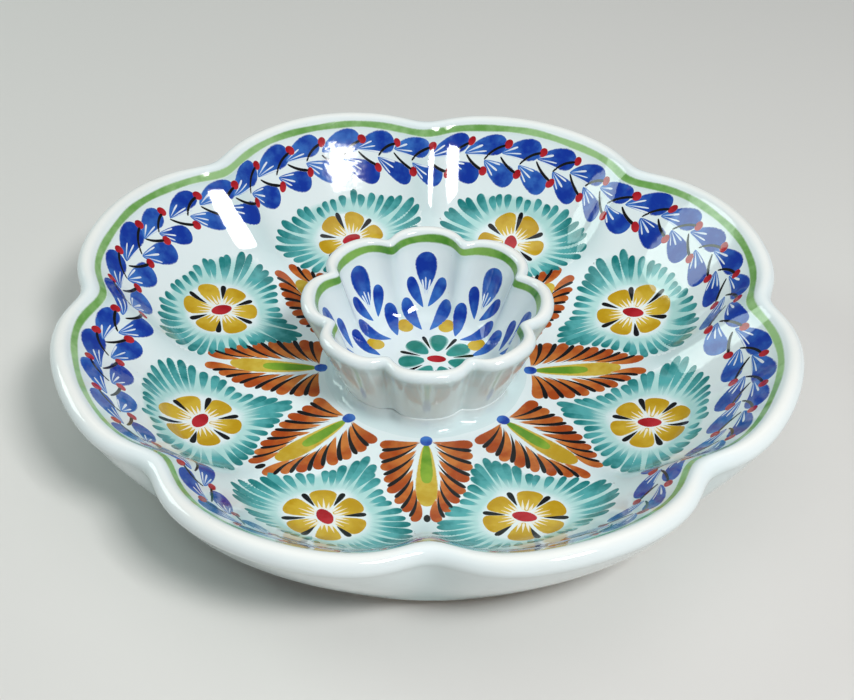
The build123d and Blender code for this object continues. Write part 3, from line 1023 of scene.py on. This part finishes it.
WASH_RINGS = 120
WASH_AROUND = 44
WASH_LIFT = 0.05  # mm
wash_turn = np.linspace(0, 2 * np.pi, WASH_RINGS, endpoint=False)
turn_grid = np.broadcast_to(wash_turn[:, None], (WASH_RINGS, WASH_AROUND))
around, raised = paint_ring(WASH_AROUND, WASH_LIFT)
near, far = 15.5, fan_reach(turn_grid) + 0.6
reach = (near + far) / 2 + (far - near) / 2 * around
washes = []
for each in range(LOBES):
    place, normal = floor_sheet(from_flower(np.full(reach.shape, each), turn_grid, reach))
    washes.append((place + normal * raised[:, None], normal))
grid, normals = (np.stack(part) for part in zip(*washes))
fields = strip_fields(grid.shape[:3], 0.5, around)
wash = make_piece("fan_washes", grid, None, fields, (normals, None))
wash.data.materials.append(aqua)

# %% Flowers
def six(reach_from, reach_to, offset, spread=0.04):
    """Six strokes per flower, outward, at the flower's own spin plus offset sixths."""
    lobe = np.repeat(np.arange(LOBES), 6)
    turn = flower_spin[lobe] + (np.tile(np.arange(6), LOBES) + offset) * np.pi / 3
    turn = turn + rng.normal(0, spread, lobe.size)
    wander = rng.normal(0, 0.35, lobe.size)
    start, end = from_flower(lobe, turn, reach_from), from_flower(lobe, turn, reach_to + wander)
    return lobe, turn, start, end


petal_lobe, petal_turn, start, end = six(3.4, 17.9, 0.0)
width = 12.2 + rng.normal(0, 0.5, len(start))
stroke_set("flower_petals", start, end, 0.0, width, tear(0.62, 7.0), 0.1, floor_sheet, ochre, 15)
starts, ends = [], []
for fan in (-0.2, 0.0, 0.2):
    tips = 11.6 - 5 * abs(fan) + rng.normal(0, 0.7, len(petal_lobe))
    starts.append(from_flower(petal_lobe, petal_turn + fan * 1.2, tips))
    ends.append(from_flower(petal_lobe, petal_turn + fan * 1.5, 4.4))
start, end = np.concatenate(starts), np.concatenate(ends)
stroke_set("petal_gaps", start, end, 0.0, 1.7, wedge, 0.15, floor_sheet, petal_gap, 9)
_, _, start, end = six(8.0, 17.7, 0.5)
stroke_set("flower_tears", start, end, 0.0, 3.1, tear(0.75, 7.0), 0.16, floor_sheet, stem_black, 11)
heart = from_flower(np.arange(LOBES), flower_spin, np.zeros(LOBES))
tilt = rng.uniform(0, np.pi, LOBES)
pull = np.stack([np.cos(tilt), np.sin(tilt)], axis=-1) * 5.0
glaze_spot = make_paint("glaze_around_heart", "#E9EFED", "#E9EFED", soft=0.3)
dabs("heart_rings", heart, pull * 1.3, 12.2, 0.14, floor_sheet, glaze_spot, 13)
dabs("flower_hearts", heart, pull * 1.08, 9.6, 0.19, floor_sheet, berry_red, 13)

# %% [markdown]
# ## Feathers
#
# Between the flowers, in line with the notches, lies a feather: a yellow blade with a green
# core, flanked by rust strokes with narrow black ones between them, all drawn towards a blue
# dot near the bowl. They are laid out in a frame of their own, whose first axis runs outward
# from the dot.

# %% Feathers
FEATHER_START = 50.0
feather_angle = np.radians(45.0 * np.arange(LOBES))


def from_feather(which, out, aside):
    """Paper points this far out from the feather's dot and this far aside."""
    ahead, side = compass(feather_angle[which])
    out, aside = np.asarray(out)[..., None], np.asarray(aside)[..., None]
    return ahead * (FEATHER_START + out) + side * aside


def on_spine(which, out):
    """Paper points on the middle line of these feathers, this far out from the dot."""
    return from_feather(which, np.full(len(which), out), np.zeros(len(which)))


def barbs(rows, jitter):
    """Strokes of every feather, on both sides, from rows of (base out, aside, tip out, aside)."""
    rows = np.array(rows)
    which = np.repeat(np.arange(LOBES), len(rows) * 2)
    row = np.tile(np.repeat(np.arange(len(rows)), 2), LOBES)
    side = np.tile([1.0, -1.0], len(rows) * LOBES)
    wander = rng.normal(0, jitter, (which.size, 4))
    at = rows[row] + wander
    start = from_feather(which, at[:, 0], side * at[:, 1])
    end = from_feather(which, at[:, 2], side * at[:, 3])
    return start, end, side, row


RUST_BARBS = (
    (0.8, 2.6, 2.2, 20.6),
    (1.6, 3.4, 10.2, 20.9),
    (5.6, 4.4, 18.6, 20.3),
    (11.6, 5.2, 26.6, 18.6),
    (18.4, 5.8, 34.0, 16.2),
    (25.0, 6.0, 41.0, 13.0),
    (31.5, 5.6, 47.6, 9.4),
    (38.5, 3.8, 54.6, 5.2),
)
BLACK_BARBS = (
    (1.2, 3.0, 6.2, 20.2),
    (3.4, 4.0, 14.4, 20.2),
    (8.4, 4.8, 22.6, 19.0),
    (15.0, 5.6, 30.2, 17.0),
    (21.8, 6.0, 37.4, 14.2),
    (28.4, 5.8, 44.2, 10.9),
    (35.0, 5.0, 51.0, 7.2),
)
start, end, side, row = barbs(RUST_BARBS, 0.35)
width = np.array([6.6, 6.5, 6.4, 6.3, 6.0, 5.7, 5.3, 5.2])[row] + rng.normal(0, 0.25, len(row))
barb, thin_barb = tear(0.8, 6.0), tear(0.95, 9.0)
bow = -0.13 * side
stroke_set("feather_barbs_rust", start, end, bow, width, barb, 0.1, floor_sheet, rust, 13)
start, end, side, row = barbs(BLACK_BARBS, 0.3)
width = np.array([3.0, 3.0, 2.9, 2.8, 2.7, 2.5, 2.3])[row]
bow, ink = -0.13 * side, stem_black
stroke_set("feather_barbs_black", start, end, bow, width, thin_barb, 0.14, floor_sheet, ink, 11)
every = np.arange(LOBES)
tipped = np.array([0, 7])  # the feathers whose tip has a dark dab
core = make_paint(
    "paint_leaf_green", "#5E9322", "#8CAE35", soft=0.4, edge=linear("#B9A82E"), deep_at=0.4
)
for name, which, first, last, wide, shape, lift, paint, along in (
    ("feather_blades", every, 2.5, 43.5, 10.6, tear(0.42, 6.0), 0.1, olive, 17),
    ("feather_cores", every, 2.0, 28.0, 7.4, tear(0.42, 10.0), 0.15, core, 15),
    ("feather_tip_dabs", tipped, 49.5, 55.0, 3.4, oval, 0.15, stem_black, 9),
    ("feather_dots", every, -3.4, 3.4, 6.2, oval, 0.2, cobalt, 11),
):
    start, end = on_spine(which, first), on_spine(which, last)
    stroke_set(name, start, end, 0.0, wide, shape, lift, floor_sheet, paint, along)

# %% [markdown]
# ## Inside the bowl
#
# On the bowl's wall stand eight cobalt sprigs, one in each lobe, with yellow dots between
# them at the floor's edge. A small teal flower lies in the middle. The disc of paper
# for the bowl is measured along the surface, so a leaf keeps its length on the slope.

# %% Sprigs, dots and the middle flower
def from_sprig(which, reach, aside):
    """Paper points in the bowl this far from its middle along a sprig's line, and aside."""
    return from_feather(which, np.asarray(reach) - FEATHER_START, aside)


SPRIG_LEAVES = (
    (43.0, 0.0, 62.6, 0.4, 14.6),
    (35.6, 1.4, 50.0, 9.8, 6.9),
    (35.6, -1.4, 50.0, -10.4, 6.9),
    (21.8, 1.8, 39.6, 12.0, 7.6),
    (21.8, -1.6, 39.2, -12.0, 7.6),
)
which = np.repeat(every, len(SPRIG_LEAVES))
rows = np.tile(np.array(SPRIG_LEAVES), (LOBES, 1))
rows[:, :4] += rng.normal(0, 0.3, (len(rows), 4))
start, end = from_sprig(which, rows[:, 0], rows[:, 1]), from_sprig(which, rows[:, 2], rows[:, 3])
bow = 0.03 * np.sign(rows[:, 1])
width, sprig = rows[:, 4], tear(0.75, 3.2)
stroke_set("sprig_leaves", start, end, bow, width, sprig, 0.1, bowl_sheet, cobalt, 15)
starts, ends = [], []
for fan in (-1.0, 0.15, 1.0):
    starts.append(from_sprig(every, 41.5 + 0 * every, 0.5 * fan + 0 * every))
    ends.append(from_sprig(every, 50.5 - 1.5 * abs(fan) + 0 * every, 2.3 * fan + 0 * every))
start, end = np.concatenate(starts), np.concatenate(ends)
stroke_set("sprig_gaps", start, end, 0.0, 1.3, wedge, 0.15, bowl_sheet, leaf_gap, 9)

dot_angle = feather_angle + np.pi / LOBES  # half a lobe further round than the sprigs
ahead, _ = compass(dot_angle)
stroke_set("bowl_dots", ahead * 21.8, ahead * 31.0, 0.0, 8.4, oval, 0.1, bowl_sheet, ochre, 11)
PETALS = 7
MIDDLE = np.array([5.0, -0.5])
turn = 2 * np.pi * np.arange(PETALS) / PETALS + 1.48 + rng.normal(0, 0.05, PETALS)
out = np.stack([np.cos(turn), np.sin(turn)], axis=-1)
start, end = MIDDLE + out * 5.6, MIDDLE + out * 18.4
petal = tear(0.55, 3.0)
stroke_set("bowl_flower_petals", start, end, 0.0, 10.2, petal, 0.1, bowl_sheet, teal_full, 15)
turn = turn + np.pi / PETALS
out = np.stack([np.cos(turn), np.sin(turn)], axis=-1)
start, end = MIDDLE + out * 8.0, MIDDLE + out * 18.2
drop = tear(0.7, 9.0)
stroke_set("bowl_flower_tears", start, end, 0.0, 2.3, drop, 0.14, bowl_sheet, stem_black, 9)
ring_pull, heart_pull = np.array([[6.2, 0.0]]), np.array([[4.6, -0.4]])
dabs("bowl_heart_ring", MIDDLE, ring_pull, 11.4, 0.15, bowl_sheet, glaze_spot, 13)
dabs("bowl_flower_heart", MIDDLE, heart_pull, 8.2, 0.19, bowl_sheet, berry_red, 13)

# %% [markdown]
# ## Floor, light and camera
#
# The dish stands on a plain pale floor. Two large soft lights and a pale sky give the broad
# reflections that show a glossy glaze. The camera looks down at about 39 degrees from the
# front.

# %% Floor
floor_mesh = bpy.data.meshes.new("floor")
floor_mesh.from_pydata([(-3, -3, 0), (3, -3, 0), (3, 3, 0), (-3, 3, 0)], [], [(0, 1, 2, 3)])
floor = bpy.data.objects.new("floor", floor_mesh)
bpy.context.scene.collection.objects.link(floor)
floor_finish = bpy.data.materials.new("pale_floor")
floor_finish.use_nodes = True
floor_shader = floor_finish.node_tree.nodes["Principled BSDF"]
floor_shader.inputs["Base Color"].default_value = linear("#DAD8D4")
floor_shader.inputs["Roughness"].default_value = 0.6
floor_mesh.materials.append(floor_finish)


# %% Lights
def direction(bearing, elevation):
    """Unit direction at this bearing, from the front (-Y) towards +X, and this elevation."""
    level = np.cos(elevation)
    return np.array([np.sin(bearing) * level, -np.cos(bearing) * level, np.sin(elevation)])


def facing(back, place, roll=0.0):
    """Matrix at this place of a lamp or a camera whose back points along `back`."""
    right = np.cross([0, 0, 1], back)
    right = right / np.linalg.norm(right)
    up = np.cross(back, right)
    rolled_right = right * np.cos(roll) + up * np.sin(roll)
    rolled_up = up * np.cos(roll) - right * np.sin(roll)
    matrix = np.eye(4)
    matrix[:3, :3] = np.stack([rolled_right, rolled_up, back], axis=1)
    matrix[:3, 3] = place
    return Matrix(matrix.tolist())


def soft_light(name, size, power, bearing, elevation, distance, tint="#FFFFFF"):
    """Area light of size (width, height) that faces the dish; degrees, and metres."""
    data = bpy.data.lights.new(name, "AREA")
    data.shape = "RECTANGLE"
    data.size, data.size_y = size
    data.energy = power
    data.color = linear(tint)[:3]
    lamp = bpy.data.objects.new(name, data)
    bpy.context.scene.collection.objects.link(lamp)
    back = direction(np.radians(bearing), np.radians(elevation))
    lamp.matrix_world = facing(back, back * distance + [0, 0, 0.03])


soft_light("window_front_right", (0.42, 0.34), 17.6, 36, 52, 1.6)
soft_light("window_back_left", (0.7, 0.5), 6.0, -112, 32, 1.5, "#DDF0EA")
soft_light("soft_top", (1.6, 1.6), 6.0, 170, 80, 1.6)
world = bpy.data.worlds.new("pale_sky")
world.use_nodes = True
world.node_tree.nodes["Background"].inputs["Color"].default_value = linear("#E6ECF0")
world.node_tree.nodes["Background"].inputs["Strength"].default_value = 0.22
bpy.context.scene.world = world
bpy.context.scene.view_settings.view_transform = "Standard"

# %% Camera
ELEVATION = np.radians(39.464)
TURN = np.radians(-1.262)
ROLL = np.radians(1.514)
CAMERA_PLACE = np.array([-10.28, -482.35, 418.01]) * MM
LENS = 55.58  # mm, on a sensor 36 mm wide
camera_data = bpy.data.cameras.new("camera")
camera_data.sensor_width, camera_data.lens = 36.0, LENS
camera_data.clip_start = 0.01
camera = bpy.data.objects.new("camera", camera_data)
camera.matrix_world = facing(direction(TURN, ELEVATION), CAMERA_PLACE, ROLL)
bpy.context.scene.collection.objects.link(camera)
bpy.context.scene.camera = camera
